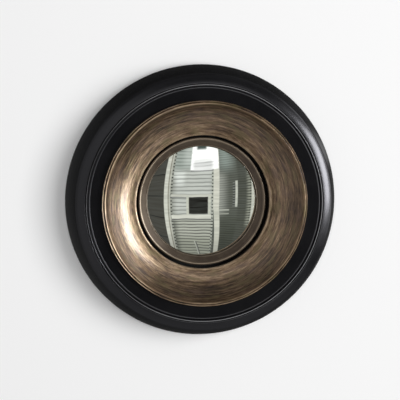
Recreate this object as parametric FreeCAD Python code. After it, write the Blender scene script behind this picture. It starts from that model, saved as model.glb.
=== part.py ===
import FreeCAD, Part
import math
import os

# Round convex wall mirror: a turned black frame, a bronze cove ring, a dark bezel and a domed glass.
# The mirror's axis is Y, the wall is the plane Y = 0, the front looks along -Y and Z is up.
# A section point is (radius, depth): the distance from the axis, and the distance in front of the wall.
# All sizes are in millimetres.

# The glass, from which the rings are stacked outwards; with the widths below, the mirror is 400 across
glass_diameter = 176.0
glass_dome_radius = 225.0
glass_thickness = 3.0

# Outer frame: widths along the radius, from the inside out
frieze_width = 17.0
bead_width = 2.4
groove_width = 1.9
ridge_width = 2.0
quirk_width = 1.1
ovolo_face_width = 10.4

# Outer frame: how the ovolo falls away. Its face's slope goes from start to end, and its side's lean from
# top to foot, in degrees.
ovolo_face_start = 12.0
ovolo_face_end = 26.0
ovolo_shoulder_radius = 8.52
ovolo_lean_top = 22.0
ovolo_lean_foot = 10.0

# Outer frame: depths from the wall, and what stands above the frieze
widest_depth = 14.0
rim_inset = 8.0
frieze_depth = 58.0
ovolo_rise = 2.4
ridge_rise = 2.6
ridge_taper = 0.5
bead_rise = 0.9

# Seats inside the outer frame
recess_depth = 8.0
ledge_width = 9.8
frame_flange_width = 12.0
frame_flange_thickness = 8.0

# Cove ring
lip_lap = 2.8
lip_fillet_width = 1.6
lip_quirk_width = 0.8
lip_bead_width = 3.0
lip_rise = 7.0
lip_bead_rise = 0.9
lip_fillet_drop = 1.6
lip_quirk_depth = 1.0
cove_width = 45.2
cove_hollow = 5.2
cove_edge_radius = 2.0
cove_edge_thickness = 24.0

# Bezel ring
shadow_gap = 3.3
bezel_wall = 6.2
bezel_lap = 6.6
bezel_flange_lap = 9.0
bezel_flange_thickness = 4.0
bezel_lip_height = 8.5
bezel_crest_rise = 7.0
bezel_crest_radius = 2.4
bezel_lip_thickness = 1.6
bezel_lip_width = 1.4
bezel_step = 0.5
bezel_step_width = 6.0

# What beds the glass
gasket_thickness = 0.6
gasket_width = 3.4
foam_width = 8.0
board_thickness = 4.0

# Hanger: a plate with a rolled eye, and the wire ring that swings in it
hanger_plate_height = 12.0
hanger_plate_thickness = 1.2
hanger_wire_diameter = 3.0
hanger_ring_width = 14.0
hanger_ring_leg = 7.0
hanger_ring_corner = 2.5

# Screws: head and shank diameters, lengths, counts, and the first one's angle from the top in degrees.
# The cross slot's length is a share of the head, and each screw stops some degrees further round.
frame_screw_head = 8.0
frame_screw_shank = 4.0
frame_screw_length = 22.0
frame_screw_count = 6
frame_screw_start = 30.0
bezel_screw_head = 6.0
bezel_screw_shank = 3.0
bezel_screw_length = 14.0
bezel_screw_count = 4
bezel_screw_start = 45.0
board_screw_head = 6.4
board_screw_shank = 3.5
board_screw_length = 16.0
board_screw_count = 6
board_screw_start = 0.0
hanger_screw_head = 6.4
hanger_screw_shank = 3.5
hanger_screw_length = 16.0
pan_head_height = 2.0
screw_point = 3.0
drive_slot_width = 0.9
drive_slot_depth = 1.2
drive_slot_share = 0.55
screw_turn = 37.0

# Clearances
ring_clearance = 0.4
board_clearance = 0.5
glass_clearance = 0.5
bed_clearance = 0.1
screw_clearance = 0.1
screw_hole_clearance = 0.4
eye_clearance = 0.3
eye_end_gap = 0.2
hanger_head_gap = 1.3

# Radii that follow from the glass and the widths
glass_radius = glass_diameter / 2
sight_radius = glass_radius - bezel_lap
bezel_rebate = glass_radius + glass_clearance
bezel_radius = bezel_rebate + bezel_wall
cove_bore = bezel_radius + shadow_gap
cove_inner = cove_bore + cove_edge_radius
cove_outer = cove_inner + cove_width
lip_bead_outer = cove_outer + lip_bead_width
lip_fillet_inner = lip_bead_outer + lip_quirk_width
lip_radius = lip_fillet_inner + lip_fillet_width
bead_inner = lip_radius + frieze_width
bead_outer = bead_inner + bead_width
ridge_inner = bead_outer + groove_width
ridge_outer = ridge_inner + ridge_width
ovolo_inner = ridge_outer + quirk_width
frame_bore = lip_radius - lip_lap
frame_flange_bore = frame_bore - frame_flange_width
rebate_radius = frame_bore + ledge_width
bezel_flange_radius = cove_bore + bezel_flange_lap

# Depths that follow from the thicknesses
ledge_depth = recess_depth + board_thickness
bezel_seat = ledge_depth + bezel_flange_thickness
frame_seat = ledge_depth + frame_flange_thickness
cove_edge_depth = bezel_seat + cove_edge_thickness
lip_top = frieze_depth + lip_rise
bezel_lip_depth = bezel_seat + bezel_lip_height
glass_edge_depth = bezel_lip_depth - bezel_lip_thickness - gasket_thickness - 2 * bed_clearance
dome_centre = glass_edge_depth - math.sqrt(glass_dome_radius**2 - sight_radius**2)

# The ovolo: a gently rounded face, a tighter shoulder, a leaning side and a rounded back edge
face_start = math.radians(ovolo_face_start)
face_end = math.radians(ovolo_face_end)
lean_top = math.radians(ovolo_lean_top)
lean_foot = math.radians(ovolo_lean_foot)
face_radius = ovolo_face_width / (math.sin(face_end) - math.sin(face_start))
ovolo_top = frieze_depth + ovolo_rise
shoulder_inner = ovolo_inner + ovolo_face_width
shoulder_outer = shoulder_inner + ovolo_shoulder_radius * (math.cos(lean_top) - math.sin(face_end))
shoulder_top = ovolo_top - face_radius * (math.cos(face_start) - math.cos(face_end))
side_top = shoulder_top - ovolo_shoulder_radius * (math.cos(face_end) - math.sin(lean_top))
back_radius = (rim_inset**2 + widest_depth**2) / (2 * rim_inset)
side_foot = widest_depth + back_radius * math.sin(lean_foot)
side_radius = (side_top - side_foot) / (math.sin(lean_top) - math.sin(lean_foot))
side_outer = shoulder_outer + side_radius * (math.cos(lean_foot) - math.cos(lean_top))
frame_radius = side_outer + back_radius * (1 - math.cos(lean_foot))
rim_radius = frame_radius - rim_inset

# The cove ring's flat back between the two flanges, which also takes the hanger's screws
cove_land_inner = bezel_flange_radius + ring_clearance
cove_land_outer = frame_flange_bore - ring_clearance

# The hanger: its screws stand clear of the ring, and its eye stands on the board just above the plate
wire_radius = hanger_wire_diameter / 2
hanger_height = (cove_land_inner + cove_land_outer) / 2
hanger_screw_offset = hanger_ring_width / 2 + wire_radius + hanger_head_gap + hanger_screw_head / 2
hanger_reach = hanger_screw_length - hanger_plate_thickness - board_thickness
eye_inner = wire_radius + eye_clearance
eye_outer = eye_inner + hanger_plate_thickness
eye_depth = recess_depth - eye_outer
eye_height = hanger_height + hanger_plate_height / 2 + eye_outer
eye_width = hanger_ring_width - 2 * (hanger_ring_corner + eye_end_gap)

AXIS = FreeCAD.Vector(0, 1, 0)
ACROSS = FreeCAD.Vector(1, 0, 0)
ORIGIN = FreeCAD.Vector(0, 0, 0)
QUARTER = math.pi / 2


def at(radius, depth):
    """A section point, drawn in the plane Z = 0."""
    return FreeCAD.Vector(radius, -depth, 0)


def turned(section):
    """A closed section swept about the axis. An entry is a corner, or an arc's middle and end."""
    edges = []
    start = section[-1][-1]
    for entry in section:
        end = entry[-1]
        if len(entry) == 1:
            edges.append(Part.LineSegment(at(*start), at(*end)).toShape())
        else:
            edges.append(Part.Arc(at(*start), at(*entry[0]), at(*end)).toShape())
        start = end
    return Part.Face(Part.Wire(edges)).revolve(ORIGIN, AXIS, 360)


def bend(centre, radius, start, end):
    """An arc about a section point, between two angles that run from outward towards the front."""

    def on_circle(angle):
        return (centre[0] + radius * math.cos(angle), centre[1] + radius * math.sin(angle))

    return [on_circle((start + end) / 2), on_circle(end)]


def crown(start, end, rise):
    """An arc from one section point to the next that stands up towards the front by its rise."""
    middle = ((start[0] + end[0]) / 2, (start[1] + end[1]) / 2)
    run = (end[0] - start[0], end[1] - start[1])
    length = math.hypot(*run)
    return [(middle[0] + rise * run[1] / length, middle[1] - rise * run[0] / length), end]


def dome_point(radius, distance):
    """The section point of a sphere about the dome's centre, at a distance from the axis."""
    return (distance, dome_centre + math.sqrt(radius**2 - distance**2))


def dome_arc(radius, start, end):
    """An arc on a sphere about the dome's centre, between two distances from the axis."""
    return [dome_point(radius, (start + end) / 2), dome_point(radius, end)]


def around(count, radius, first):
    """Evenly spaced places about the axis, the first at an angle in degrees from the top."""
    places = []
    for index in range(count):
        angle = math.radians(first + 360 * index / count)
        places.append(FreeCAD.Vector(radius * math.sin(angle), 0, radius * math.cos(angle)))
    return places


def rod(radius, start, end):
    """A plain cylinder along the axis between two depths."""
    return Part.makeCylinder(radius, end - start, FreeCAD.Vector(0, -start, 0), -AXIS)


def placed(solid, places):
    """Copies of a solid, one at each place."""
    return [solid.translated(place) for place in places]


def cross_slot(head, start):
    """The cross slot in the head of a screw on the axis, cut in from a depth."""
    length = drive_slot_share * head
    corner = FreeCAD.Vector(-length / 2, -start - drive_slot_depth, -drive_slot_width / 2)
    slot = Part.makeBox(length, drive_slot_depth, drive_slot_width, corner)
    return slot.fuse(slot.rotated(ORIGIN, AXIS, 90))


def countersunk(head, shank, start, length):
    """A countersunk screw on the axis, its flat head at a depth and its point towards the front."""
    cone = (head - shank) / 2
    screw = turned([
        [(0, start)],
        [(head / 2, start)],
        [(shank / 2, start + cone)],
        [(shank / 2, start + length - screw_point)],
        [(0, start + length)],
    ])
    return screw.cut(cross_slot(head, start))


def pan_head(head, shank, start, length):
    """A pan-head screw on the axis, its head standing back from a depth and its point towards the front."""
    top = start - pan_head_height
    screw = turned([
        [(0, top)],
        [(head / 2 - pan_head_height / 2, top)],
        [(head / 2, start - pan_head_height / 2)],
        [(head / 2, start)],
        [(shank / 2, start)],
        [(shank / 2, start + length - screw_point)],
        [(0, start + length)],
    ])
    return screw.cut(cross_slot(head, top))


def pilot(shank, start, length):
    """The hole that a screw's shank fills, from a depth to the screw's point."""
    return rod(shank / 2 + screw_clearance, start, start + length)


def countersink(head, shank, start, through):
    """The hole for a countersunk screw in the piece that its head holds down."""
    cone = (head - shank) / 2
    hole = rod(shank / 2 + screw_hole_clearance, start, through)
    sink = turned([
        [(0, start)],
        [(head / 2 + screw_clearance, start)],
        [(shank / 2 + screw_clearance, start + cone)],
        [(0, start + cone)],
    ])
    return hole.fuse(sink)


# Screw places, each in the middle of the land that its screw goes through
frame_screw_places = around(
    frame_screw_count, (frame_bore + frame_flange_bore) / 2, frame_screw_start
)
bezel_screw_places = around(
    bezel_screw_count, (cove_bore + bezel_flange_radius) / 2, bezel_screw_start
)
board_screw_places = around(board_screw_count, (frame_bore + rebate_radius) / 2, board_screw_start)
hanger_screw_places = [
    FreeCAD.Vector(side * hanger_screw_offset, 0, hanger_height) for side in (-1, 1)
]


def outer_frame():
    """The turned black ring: ovolo, quirk, ridge, groove, bead and frieze, and the seats behind them."""
    back_angle = math.asin(widest_depth / back_radius)
    back_centre = (frame_radius - back_radius, widest_depth)
    side_centre = (
        side_outer - side_radius * math.cos(lean_foot), side_foot - side_radius * math.sin(lean_foot)
    )
    shoulder = ovolo_shoulder_radius
    shoulder_centre = (
        shoulder_inner - shoulder * math.sin(face_end), shoulder_top - shoulder * math.cos(face_end)
    )
    face_centre = (
        ovolo_inner - face_radius * math.sin(face_start), ovolo_top - face_radius * math.cos(face_start)
    )
    ridge_top = frieze_depth + ridge_rise
    frame = turned([
        [(rebate_radius, 0)],
        [(rim_radius, 0)],
        bend(back_centre, back_radius, -back_angle, lean_foot),
        bend(side_centre, side_radius, lean_foot, lean_top),
        bend(shoulder_centre, shoulder, lean_top, QUARTER - face_end),
        bend(face_centre, face_radius, QUARTER - face_end, QUARTER - face_start),
        [(ovolo_inner, frieze_depth)],
        [(ridge_outer, frieze_depth)],
        [(ridge_outer - ridge_taper, ridge_top)],
        [(ridge_inner + ridge_taper, ridge_top)],
        [(ridge_inner, frieze_depth)],
        [(bead_outer, frieze_depth)],
        crown((bead_outer, frieze_depth), (bead_inner, frieze_depth), bead_rise),
        [(frame_bore, frieze_depth)],
        [(frame_bore, frame_seat)],
        [(frame_flange_bore, frame_seat)],
        [(frame_flange_bore, ledge_depth)],
        [(rebate_radius, ledge_depth)],
    ])
    sinks = placed(
        countersink(frame_screw_head, frame_screw_shank, ledge_depth, frame_seat), frame_screw_places
    )
    pilots = placed(
        pilot(board_screw_shank, ledge_depth, board_screw_length - board_thickness), board_screw_places
    )
    return frame.cut(sinks + pilots)


def cove_ring():
    """The bronze ring: lip fillet and bead, concave cove, rounded inner edge and stepped back."""
    bead_foot = lip_top - lip_bead_rise
    fillet_top = lip_top - lip_fillet_drop
    quirk_floor = fillet_top - lip_quirk_depth
    cove_start = (cove_outer, bead_foot)
    edge = cove_edge_radius
    edge_centre = (cove_inner, cove_edge_depth - edge)
    wall = frame_bore - ring_clearance
    ring = turned([
        [(wall, frieze_depth)],
        [(lip_radius, frieze_depth)],
        [(lip_radius, fillet_top)],
        [(lip_fillet_inner, fillet_top)],
        [(lip_fillet_inner, quirk_floor)],
        [(lip_bead_outer, quirk_floor)],
        [(lip_bead_outer, bead_foot)],
        crown((lip_bead_outer, bead_foot), cove_start, lip_bead_rise),
        crown(cove_start, (cove_inner, cove_edge_depth), -cove_hollow),
        bend(edge_centre, edge, QUARTER, 2 * QUARTER),
        [(cove_bore, bezel_seat)],
        [(cove_land_inner, bezel_seat)],
        [(cove_land_inner, ledge_depth)],
        [(cove_land_outer, ledge_depth)],
        [(cove_land_outer, frame_seat)],
        [(wall, frame_seat)],
    ])
    into_ring = [
        (frame_screw_shank, frame_seat, frame_screw_length - frame_flange_thickness, frame_screw_places),
        (bezel_screw_shank, bezel_seat, bezel_screw_length - bezel_flange_thickness, bezel_screw_places),
        (hanger_screw_shank, ledge_depth, hanger_reach, hanger_screw_places),
    ]
    pilots = []
    for shank, start, length, places in into_ring:
        pilots += placed(pilot(shank, start, length), places)
    return ring.cut(pilots)


def bezel_ring():
    """The dark ring round the glass: rear flange, crest, stepped face and a lip shaped to the dome."""
    rebate_dome = glass_dome_radius + gasket_thickness + 2 * bed_clearance
    crest = bezel_crest_radius
    crest_centre = (bezel_radius - crest, bezel_lip_depth + bezel_crest_rise - crest)
    lip_outer = sight_radius + bezel_lip_width
    run = (crest_centre[0] - lip_outer, crest_centre[1] - bezel_lip_depth)
    slope = math.atan2(run[1], run[0]) + math.asin(crest / math.hypot(*run))
    step_radius = bezel_radius - bezel_step_width
    step_depth = bezel_lip_depth + math.tan(slope) * (step_radius - lip_outer)
    bead_foot = bezel_lip_depth - bezel_step
    bezel = turned([
        [(bezel_flange_radius, ledge_depth)],
        [(bezel_flange_radius, bezel_seat)],
        [(bezel_radius, bezel_seat)],
        [(bezel_radius, crest_centre[1])],
        bend(crest_centre, crest, 0, QUARTER + slope),
        [(step_radius, step_depth)],
        [(step_radius, step_depth - bezel_step)],
        [(lip_outer, bead_foot)],
        crown((lip_outer, bead_foot), (sight_radius, bead_foot), bezel_step),
        [dome_point(rebate_dome, sight_radius)],
        dome_arc(rebate_dome, sight_radius, bezel_rebate),
        [(bezel_rebate, ledge_depth)],
    ])
    sinks = countersink(bezel_screw_head, bezel_screw_shank, ledge_depth, bezel_seat)
    return bezel.cut(placed(sinks, bezel_screw_places))


def convex_mirror():
    """The domed glass: a sheet of even thickness between two spheres, cut off at its edge."""
    back = glass_dome_radius - glass_thickness
    return turned([
        [(0, dome_centre + glass_dome_radius)],
        dome_arc(glass_dome_radius, 0, glass_radius),
        [dome_point(back, glass_radius)],
        dome_arc(back, glass_radius, 0),
    ])


def glass_gasket():
    """The thin strip between the bezel's lip and the front of the glass, along its rim."""
    front = glass_dome_radius + gasket_thickness + bed_clearance
    back = glass_dome_radius + bed_clearance
    inner = glass_radius - gasket_width
    return turned([
        [dome_point(front, inner)],
        [dome_point(front, glass_radius)],
        [dome_point(back, glass_radius)],
        [dome_point(back, inner)],
    ])


def foam_ring():
    """The packing between the board and the back of the glass, along its rim."""
    back = glass_dome_radius - glass_thickness - bed_clearance
    inner = glass_radius - foam_width
    return turned([
        [(inner, ledge_depth)],
        [(glass_radius, ledge_depth)],
        [dome_point(back, glass_radius)],
        [dome_point(back, inner)],
    ])


def back_board():
    """The disc that closes the back, with holes for its own screws and the hanger's."""
    board = rod(rebate_radius - board_clearance, recess_depth, ledge_depth)
    own = rod(board_screw_shank / 2 + screw_hole_clearance, recess_depth, ledge_depth)
    hanger = rod(hanger_screw_shank / 2 + screw_hole_clearance, recess_depth, ledge_depth)
    return board.cut(placed(own, board_screw_places) + placed(hanger, hanger_screw_places))


def hanger_plate():
    """The pressed plate: a flat with round ends and two screw holes, and a tongue rolled into an eye."""
    rear = recess_depth - hanger_plate_thickness
    end_radius = hanger_plate_height / 2
    flat = Part.makeBox(
        2 * hanger_screw_offset,
        hanger_plate_thickness,
        hanger_plate_height,
        FreeCAD.Vector(-hanger_screw_offset, -recess_depth, hanger_height - end_radius),
    )
    ends = placed(rod(end_radius, rear, recess_depth), hanger_screw_places)
    tongue = Part.makeBox(
        eye_width,
        hanger_plate_thickness,
        eye_height - hanger_height,
        FreeCAD.Vector(-eye_width / 2, -recess_depth, hanger_height),
    )
    eye_end = FreeCAD.Vector(-eye_width / 2, -eye_depth, eye_height)
    roll = Part.makeCylinder(eye_outer, eye_width, eye_end, ACROSS)
    bore = Part.makeCylinder(eye_inner, eye_width, eye_end, ACROSS)
    hole = rod(hanger_screw_shank / 2 + screw_hole_clearance, rear, recess_depth)
    plate = flat.fuse(ends + [tongue, roll])
    return plate.cut([bore] + placed(hole, hanger_screw_places)).removeSplitter()


def hanger_ring():
    """The wire ring that hangs from the eye: a straight bar, two legs and a round bow."""
    half = hanger_ring_width / 2
    corner = hanger_ring_corner
    lean = corner * (1 - math.cos(QUARTER / 2))

    def wire_point(x, drop):
        return FreeCAD.Vector(x, -eye_depth, eye_height - drop)

    left_top = wire_point(-half + corner, 0)
    right_top = wire_point(half - corner, 0)
    left_leg = wire_point(-half, corner)
    right_leg = wire_point(half, corner)
    left_bow = wire_point(-half, hanger_ring_leg)
    right_bow = wire_point(half, hanger_ring_leg)
    bow_tip = wire_point(0, hanger_ring_leg + half)
    path = Part.Wire([
        Part.LineSegment(left_top, right_top).toShape(),
        Part.Arc(right_top, wire_point(half - lean, lean), right_leg).toShape(),
        Part.LineSegment(right_leg, right_bow).toShape(),
        Part.Arc(right_bow, bow_tip, left_bow).toShape(),
        Part.LineSegment(left_bow, left_leg).toShape(),
        Part.Arc(left_leg, wire_point(-half + lean, lean), left_top).toShape(),
    ])
    rim = Part.Circle(left_top, ACROSS, wire_radius).toShape()
    return path.makePipeShell([Part.Wire([rim])], True, True)


def screws(screw, places):
    """A group of like screws, each turned further round than the one before."""
    group = []
    for index, place in enumerate(places):
        group.append(screw.rotated(ORIGIN, AXIS, index * screw_turn).translated(place))
    return Part.makeCompound(group)


nodes = {
    "outer_frame": outer_frame(),
    "cove_ring": cove_ring(),
    "bezel_ring": bezel_ring(),
    "convex_mirror": convex_mirror(),
    "glass_gasket": glass_gasket(),
    "foam_ring": foam_ring(),
    "back_board": back_board(),
    "frame_screws": screws(
        countersunk(frame_screw_head, frame_screw_shank, ledge_depth, frame_screw_length),
        frame_screw_places,
    ),
    "bezel_screws": screws(
        countersunk(bezel_screw_head, bezel_screw_shank, ledge_depth, bezel_screw_length),
        bezel_screw_places,
    ),
    "back_board_screws": screws(
        pan_head(board_screw_head, board_screw_shank, recess_depth, board_screw_length),
        board_screw_places,
    ),
    "hanger_plate": hanger_plate(),
    "hanger_ring": hanger_ring(),
    "hanger_screws": screws(
        pan_head(
            hanger_screw_head,
            hanger_screw_shank,
            recess_depth - hanger_plate_thickness,
            hanger_screw_length,
        ),
        hanger_screw_places,
    ),
}

os.makedirs("parts", exist_ok=True)
for name, shape in nodes.items():
    shape.exportStep(f"parts/{name}.step")
    print(name, "valid" if shape.isValid() else "NOT VALID", round(shape.Volume), "mm3")
print("overall diameter", round(2 * frame_radius, 3))
print("hanger eye at height", round(eye_height, 3), "depth", round(eye_depth, 3))
print("glass apex at depth", round(dome_centre + glass_dome_radius, 3))
print("sight radius", round(sight_radius, 3), "cove bore", round(cove_bore, 3))
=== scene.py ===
import math

import bmesh
import bpy
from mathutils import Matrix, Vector, noise

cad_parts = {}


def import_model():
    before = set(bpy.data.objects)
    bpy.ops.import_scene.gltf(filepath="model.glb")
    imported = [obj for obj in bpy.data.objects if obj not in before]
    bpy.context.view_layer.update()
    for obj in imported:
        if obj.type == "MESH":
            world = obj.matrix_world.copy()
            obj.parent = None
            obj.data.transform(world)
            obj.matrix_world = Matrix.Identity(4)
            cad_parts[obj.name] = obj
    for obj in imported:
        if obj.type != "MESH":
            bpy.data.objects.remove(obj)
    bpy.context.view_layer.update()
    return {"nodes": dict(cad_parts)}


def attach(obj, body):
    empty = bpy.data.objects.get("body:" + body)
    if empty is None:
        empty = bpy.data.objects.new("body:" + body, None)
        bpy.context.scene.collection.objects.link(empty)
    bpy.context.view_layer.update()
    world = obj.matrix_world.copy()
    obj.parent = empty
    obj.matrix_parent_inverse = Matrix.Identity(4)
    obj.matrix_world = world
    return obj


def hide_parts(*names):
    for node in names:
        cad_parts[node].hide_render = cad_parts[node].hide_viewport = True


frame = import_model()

# Sizes in millimetres and degrees, as in the solids but for easing and wear. A section point is (radius,
# depth in front of the wall), and a third number is the radius that eases that corner.
MM = 0.001
SEGMENTS = 360

# Widths, from the glass outwards, and the radii that follow
GLASS_RADIUS = 88.0
GLASS_CLEARANCE = 0.5
BEZEL_LAP = 6.6
BEZEL_LIP_WIDTH = 1.4
BEZEL_STEP_WIDTH = 6.0
BEZEL_WALL = 6.2
BEZEL_FLANGE_LAP = 9.0
CREST_RADIUS = 2.4
SHADOW_GAP = 3.3
COVE_EDGE_RADIUS = 2.0
COVE_WIDTH = 45.2
LIP_BEAD_WIDTH = 3.0
LIP_QUIRK_WIDTH = 0.8
LIP_FILLET_WIDTH = 1.6
LIP_LAP = 2.8
RING_CLEARANCE = 0.4
FRAME_FLANGE_WIDTH = 12.0
LEDGE_WIDTH = 9.8
FRIEZE_WIDTH = 17.0
BEAD_WIDTH = 2.4
GROOVE_WIDTH = 1.9
RIDGE_WIDTH = 2.0
RIDGE_TAPER = 0.5
QUIRK_WIDTH = 1.1
FACE_WIDTH = 10.4
RIM_INSET = 8.0
FRAME_RADIUS = 200.0
SIGHT_RADIUS = GLASS_RADIUS - BEZEL_LAP
BEZEL_LIP_OUTER = SIGHT_RADIUS + BEZEL_LIP_WIDTH
BEZEL_BORE = GLASS_RADIUS + GLASS_CLEARANCE
BEZEL_RADIUS = BEZEL_BORE + BEZEL_WALL
BEZEL_STEP_RADIUS = BEZEL_RADIUS - BEZEL_STEP_WIDTH
BEZEL_CREST = BEZEL_RADIUS - CREST_RADIUS
COVE_BORE = BEZEL_RADIUS + SHADOW_GAP
BEZEL_FLANGE = COVE_BORE + BEZEL_FLANGE_LAP
COVE_INNER = COVE_BORE + COVE_EDGE_RADIUS
COVE_OUTER = COVE_INNER + COVE_WIDTH
LIP_BEAD = COVE_OUTER + LIP_BEAD_WIDTH
LIP_QUIRK = LIP_BEAD + LIP_QUIRK_WIDTH
LIP_RADIUS = LIP_QUIRK + LIP_FILLET_WIDTH
FRAME_BORE = LIP_RADIUS - LIP_LAP
FLANGE_BORE = FRAME_BORE - FRAME_FLANGE_WIDTH
REBATE_RADIUS = FRAME_BORE + LEDGE_WIDTH
BEAD_INNER = LIP_RADIUS + FRIEZE_WIDTH
BEAD_OUTER = BEAD_INNER + BEAD_WIDTH
BEAD_CROWN = (BEAD_INNER + BEAD_OUTER) / 2
RIDGE_INNER = BEAD_OUTER + GROOVE_WIDTH
RIDGE_OUTER = RIDGE_INNER + RIDGE_WIDTH
OVOLO_INNER = RIDGE_OUTER + QUIRK_WIDTH
RIM_RADIUS = FRAME_RADIUS - RIM_INSET

# Heights and thicknesses, and the depths in front of the wall that follow
LEDGE_DEPTH = 12.0
WIDEST_DEPTH = 14.0
FRIEZE_DEPTH = 58.0
BEZEL_FLANGE_THICKNESS = 4.0
BEZEL_LIP_HEIGHT = 8.5
BEZEL_LIP_THICKNESS = 1.6
BEZEL_STEP = 0.5
BEZEL_CREST_RISE = 7.0
GASKET_ROOM = 0.8
GLASS_THICKNESS = 3.0
COVE_EDGE_THICKNESS = 24.0
FRAME_FLANGE_THICKNESS = 8.0
OVOLO_RISE = 2.4
RIDGE_RISE = 2.6
BEAD_RISE = 0.9
LIP_RISE = 7.0
LIP_SEAT_GAP = 0.05
LIP_QUIRK_DEPTH = 1.0
LIP_FILLET_DROP = 1.6
LIP_FILLET_FALL = 0.5
BEZEL_SEAT = LEDGE_DEPTH + BEZEL_FLANGE_THICKNESS
FRAME_SEAT = LEDGE_DEPTH + FRAME_FLANGE_THICKNESS
BEZEL_LIP_DEPTH = BEZEL_SEAT + BEZEL_LIP_HEIGHT
BEZEL_CREST_DEPTH = BEZEL_LIP_DEPTH + BEZEL_CREST_RISE
GLASS_EDGE_DEPTH = BEZEL_LIP_DEPTH - BEZEL_LIP_THICKNESS - GASKET_ROOM
COVE_EDGE_DEPTH = BEZEL_SEAT + COVE_EDGE_THICKNESS
OVOLO_TOP = FRIEZE_DEPTH + OVOLO_RISE
RIDGE_TOP = FRIEZE_DEPTH + RIDGE_RISE
LIP_TOP = FRIEZE_DEPTH + LIP_RISE
LIP_FILLET_TOP = LIP_TOP - LIP_FILLET_DROP
QUIRK_FLOOR = LIP_FILLET_TOP - LIP_QUIRK_DEPTH

# Curves: slopes of the frame's face and side in degrees, and radii
FACE_START = 12.0
FACE_END = 26.0
SHOULDER_RADIUS = 8.52
LEAN_TOP = 22.0
LEAN_FOOT = 10.0
COVE_HOLLOW = 5.2
DOME_RADIUS = 225.0
DOME_CENTRE = GLASS_EDGE_DEPTH - math.sqrt(DOME_RADIUS**2 - SIGHT_RADIUS**2)
BED_RADIUS = DOME_RADIUS + GASKET_ROOM

# Wear on the bronze lip, from a little above the frieze and a little into the cove: slow and quick waves, and
# a rough spot, whose place and spread are in degrees clockwise from the top. The bead wears less.
WEAR_ABOVE_FRIEZE = 0.5
WEAR_INTO_COVE = 0.6
SLOW_WEAR = 0.10
SLOW_RATE = 9.0
QUICK_WEAR = 0.06
QUICK_RATE = 46.0
QUICK_LAYER = Vector((0.0, 0.0, 4.0))
ROUGH_SPOT = 206.5
ROUGH_SPREAD = 4.0
ROUGH_SWELL = 0.15
ROUGH_WEAR = 0.5
BEAD_SHARE = 0.4
DROP_SHARE = 0.5


# Sections and turning

def arc(centre, radius, start, end, count):
    """Points on an arc about a section point, between two angles in degrees from outward to the front."""
    points = []
    for step in range(count + 1):
        angle = math.radians(start + (end - start) * step / count)
        points.append((centre[0] + radius * math.cos(angle), centre[1] + radius * math.sin(angle), 0))
    return points


def arc_from(start, radius, first, last, count):
    """Points on an arc that begins at a section point, after the first one."""
    angle = math.radians(first)
    centre = (start[0] - radius * math.cos(angle), start[1] - radius * math.sin(angle))
    return arc(centre, radius, first, last, count)[1:]


def through(start, end, rise, count):
    """Points on the arc between two section points that stands towards the front by its rise."""
    run = Vector((end[0] - start[0], end[1] - start[1]))
    radius = (run.length**2 / 4 + rise**2) / (2 * abs(rise))
    front = Vector((run.y, -run.x)).normalized() * math.copysign(1, rise)
    middle = Vector(((start[0] + end[0]) / 2, (start[1] + end[1]) / 2))
    centre = middle - front * (radius - abs(rise))
    first = math.atan2(start[1] - centre.y, start[0] - centre.x)
    last = math.atan2(end[1] - centre.y, end[0] - centre.x)
    turn = (last - first + math.pi) % (2 * math.pi) - math.pi
    return arc(centre, radius, math.degrees(first), math.degrees(first + turn), count)


def dome(radius, start, end, count):
    """Points on a sphere about the dome's centre, between two distances from the axis."""
    points = []
    for step in range(count + 1):
        distance = start + (end - start) * step / count
        points.append((distance, DOME_CENTRE + math.sqrt(radius**2 - distance**2), 0))
    return points


def ovolo():
    """The frame's outer curve from the rear rim: back edge, leaning side, shoulder and round face."""
    back_radius = (RIM_INSET**2 + WIDEST_DEPTH**2) / (2 * RIM_INSET)
    back_angle = math.degrees(math.asin(WIDEST_DEPTH / back_radius))
    slope_change = math.sin(math.radians(FACE_END)) - math.sin(math.radians(FACE_START))
    face_radius = FACE_WIDTH / slope_change
    face = arc_from((OVOLO_INNER, OVOLO_TOP), face_radius, 90 - FACE_START, 90 - FACE_END, 16)
    shoulder = arc_from(face[-1], SHOULDER_RADIUS, 90 - FACE_END, LEAN_TOP, 14)
    back = arc((FRAME_RADIUS - back_radius, WIDEST_DEPTH), back_radius, -back_angle, LEAN_FOOT, 20)
    drop = shoulder[-1][1] - back[-1][1]
    side_radius = drop / (math.sin(math.radians(LEAN_TOP)) - math.sin(math.radians(LEAN_FOOT)))
    side = arc_from(back[-1], side_radius, LEAN_FOOT, LEAN_TOP, 16)
    return back[1:] + side + shoulder[-2::-1] + face[-2::-1]


def bezel_face():
    """The bezel's front from its outer wall: crest, face falling towards the glass, step and lip bead."""
    centre = (BEZEL_CREST, BEZEL_CREST_DEPTH - CREST_RADIUS)
    run = (centre[0] - BEZEL_LIP_OUTER, centre[1] - BEZEL_LIP_DEPTH)
    slope = math.atan2(run[1], run[0]) + math.asin(CREST_RADIUS / math.hypot(*run))
    step_depth = BEZEL_LIP_DEPTH + math.tan(slope) * (BEZEL_STEP_RADIUS - BEZEL_LIP_OUTER)
    bead_foot = BEZEL_LIP_DEPTH - BEZEL_STEP
    return [
        *arc(centre, CREST_RADIUS, 0, 90 + math.degrees(slope), 14),
        (BEZEL_STEP_RADIUS, step_depth, 0.25),
        (BEZEL_STEP_RADIUS, step_depth - BEZEL_STEP, 0.12),
        *through((BEZEL_LIP_OUTER, bead_foot), (SIGHT_RADIUS, bead_foot), BEZEL_STEP, 10),
    ]


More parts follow.
